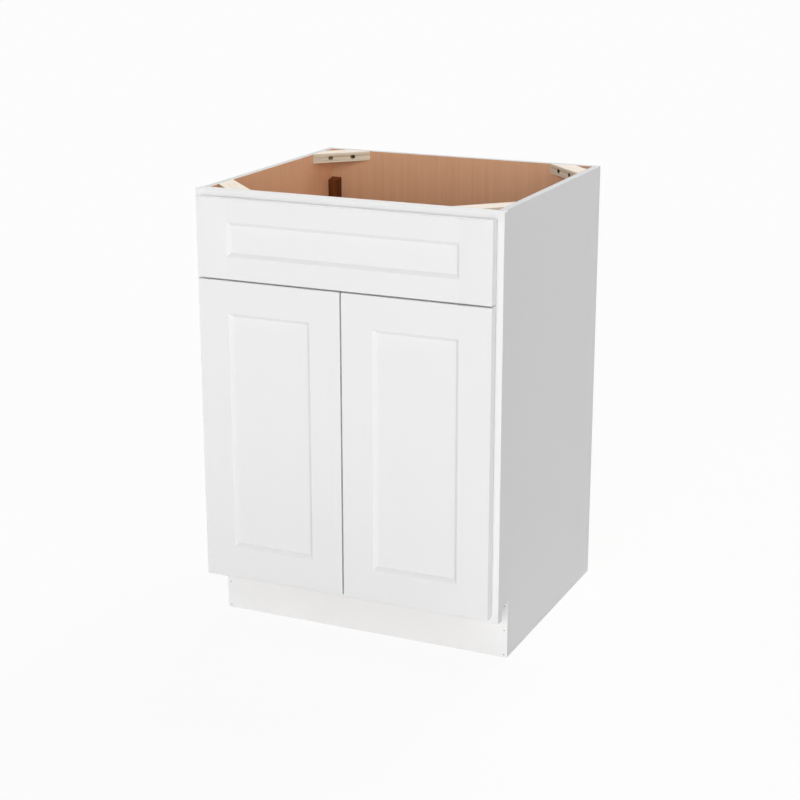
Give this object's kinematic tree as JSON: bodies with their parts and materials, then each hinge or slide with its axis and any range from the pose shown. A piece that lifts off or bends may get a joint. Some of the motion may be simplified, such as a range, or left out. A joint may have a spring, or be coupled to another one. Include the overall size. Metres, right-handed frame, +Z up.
{
  "type": "vanity base cabinet",
  "caption": "White framed bathroom vanity base cabinet: open top with corner braces, fixed false drawer front, bevelled-panel doors on concealed hinges, recessed toe kick.",
  "frame": {"origin": "middle of the whole cabinet's footprint on the floor, halfway between the door faces and the back", "axes": "+Z up, -Y out of the doors, +Y to the wall, +X to the right as seen from the front"},
  "size_m": [0.6096, 0.5612, 0.8572],
  "materials": {
    "white_paint": "satin white paint on hardwood",
    "side_ply": "plywood, satin white outside and on its edges, maple-coloured inside",
    "maple_ply": "plywood with a maple-coloured face, satin",
    "pine": "bare planed softwood",
    "stained_cleat": "dark brown stained wood",
    "hinge_nickel": "nickel-plated stamped steel",
    "hinge_pin_steel": "bright steel",
    "screw_zinc": "zinc-plated steel",
    "nail_steel": "plain steel, set below the surface",
    "bumper_rubber": "clear soft bumper"
  },
  "bodies": {
    "cabinet": {"back_panel": "maple_ply", "bottom_panel": "maple_ply", "bottom_rail": "white_paint", "brace_screws": "screw_zinc", "false_front_bottom_rail": "white_paint", "false_front_bumpers": "bumper_rubber", "false_front_left_block": "maple_ply", "false_front_left_stile": "white_paint", "false_front_panel": "white_paint", "false_front_right_block": "maple_ply", "false_front_right_stile": "white_paint", "false_front_screws": "screw_zinc", "false_front_top_rail": "white_paint", "front_left_brace": "pine", "front_right_brace": "pine", "left_hinge_arm_screws": "screw_zinc", "left_hinge_plate_screws": "screw_zinc", "left_lower_hinge_arm": "hinge_nickel", "left_lower_hinge_plate": "hinge_nickel", "left_side_panel": "side_ply", "left_stile": "white_paint", "left_upper_hinge_arm": "hinge_nickel", "left_upper_hinge_plate": "hinge_nickel", "mid_rail": "white_paint", "rear_left_brace": "pine", "rear_left_cleat": "stained_cleat", "rear_right_brace": "pine", "rear_right_cleat": "stained_cleat", "right_hinge_arm_screws": "screw_zinc", "right_hinge_plate_screws": "screw_zinc", "right_lower_hinge_arm": "hinge_nickel", "right_lower_hinge_plate": "hinge_nickel", "right_side_panel": "side_ply", "right_stile": "white_paint", "right_upper_hinge_arm": "hinge_nickel", "right_upper_hinge_plate": "hinge_nickel", "toe_kick_board": "white_paint", "toe_kick_nails": "nail_steel", "top_rail": "white_paint"},
    "left_door": {"left_door_hinge_stile": "white_paint", "left_door_lock_stile": "white_paint", "left_door_top_rail": "white_paint", "left_door_bottom_rail": "white_paint", "left_door_panel": "white_paint", "left_door_bumpers": "bumper_rubber", "left_hinge_pins": "hinge_pin_steel", "left_hinge_cup_screws": "screw_zinc", "left_upper_hinge_cup": "hinge_nickel", "left_lower_hinge_cup": "hinge_nickel"},
    "right_door": {"right_door_hinge_stile": "white_paint", "right_door_lock_stile": "white_paint", "right_door_top_rail": "white_paint", "right_door_bottom_rail": "white_paint", "right_door_panel": "white_paint", "right_door_bumpers": "bumper_rubber", "right_hinge_pins": "hinge_pin_steel", "right_hinge_cup_screws": "screw_zinc", "right_upper_hinge_cup": "hinge_nickel", "right_lower_hinge_cup": "hinge_nickel"}
  },
  "joints": [
    {"name": "left_door_hinge", "type": "hinge", "parent": "cabinet", "child": "left_door", "pos_m": [-0.2855, -0.27163, 0.40035], "axis": [0, 0, -1], "range_deg": [0, 105]},
    {"name": "right_door_hinge", "type": "hinge", "parent": "cabinet", "child": "right_door", "pos_m": [0.2855, -0.27163, 0.40035], "axis": [0, 0, 1], "range_deg": [0, 105]}
  ]
}
